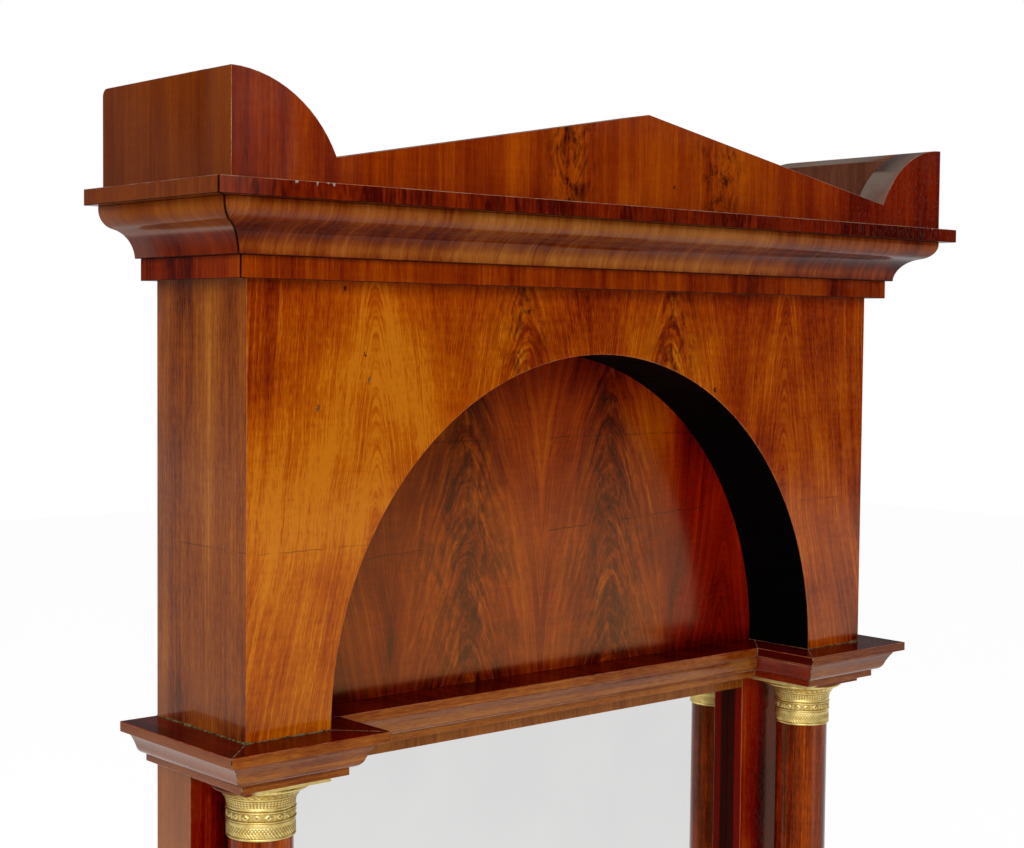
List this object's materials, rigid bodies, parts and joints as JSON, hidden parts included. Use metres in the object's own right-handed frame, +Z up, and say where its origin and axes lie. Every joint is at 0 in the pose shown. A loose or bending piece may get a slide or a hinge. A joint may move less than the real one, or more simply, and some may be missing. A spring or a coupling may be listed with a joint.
{
  "type": "pier mirror",
  "caption": "Tall mahogany pier mirror with free columns, gilt brass capitals, an arched niche over the plate, a mitred cornice and a crest of low pediment and quarter-round ears.",
  "frame": {"origin": "middle of the whole width and depth, on the floor", "axes": "+Z up, the front faces -Y, the wall is at +Y, +X is the viewer's right"},
  "size_m": [0.822, 0.186, 1.7976],
  "materials": {
    "flame_mahogany": "french polish",
    "mahogany": "french polish",
    "cross_mahogany": "french polish",
    "ebonised": "black polish",
    "gilt_brass": "stamped and gilt",
    "silvered_plate": "silvered",
    "pine": "bare, aged",
    "iron": "black",
    "screw_steel": "dull"
  },
  "bodies": {
    "root": {"arch_board": "flame_mahogany", "niche_panel": "flame_mahogany", "pediment_board": "flame_mahogany", "ear_side_left": "flame_mahogany", "ear_side_right": "flame_mahogany", "pedestal_left": "mahogany", "pedestal_right": "mahogany", "bottom_rail": "mahogany", "top_rail": "mahogany", "post_left": "mahogany", "post_right": "mahogany", "column_left": "mahogany", "column_right": "mahogany", "frieze_side_left": "mahogany", "frieze_side_right": "mahogany", "architrave_front": "mahogany", "architrave_left": "mahogany", "architrave_right": "mahogany", "cornice_slab_front": "mahogany", "cornice_slab_left": "mahogany", "cornice_slab_right": "mahogany", "cornice_cyma_front": "cross_mahogany", "cornice_cyma_left": "cross_mahogany", "cornice_cyma_right": "cross_mahogany", "sill_outer_left": "cross_mahogany", "sill_front_left": "cross_mahogany", "sill_inner_left": "cross_mahogany", "sill_centre": "cross_mahogany", "sill_inner_right": "cross_mahogany", "sill_front_right": "cross_mahogany", "sill_outer_right": "cross_mahogany", "impost_outer_left": "cross_mahogany", "impost_front_left": "cross_mahogany", "impost_inner_left": "cross_mahogany", "impost_centre": "cross_mahogany", "impost_inner_right": "cross_mahogany", "impost_front_right": "cross_mahogany", "impost_outer_right": "cross_mahogany", "arch_soffit": "ebonised", "column_base_left": "gilt_brass", "column_base_right": "gilt_brass", "capital_left": "gilt_brass", "capital_right": "gilt_brass", "abacus_left": "gilt_brass", "abacus_right": "gilt_brass", "mirror_plate": "silvered_plate", "plate_blocks": "pine", "backboard_left": "pine", "backboard_middle": "pine", "backboard_right": "pine", "impost_core_left": "pine", "impost_core_right": "pine", "frieze_back": "pine", "cornice_board": "pine", "glue_blocks": "pine", "hanging_plates": "iron", "plate_screws": "screw_steel"}
  },
  "joints": []
}
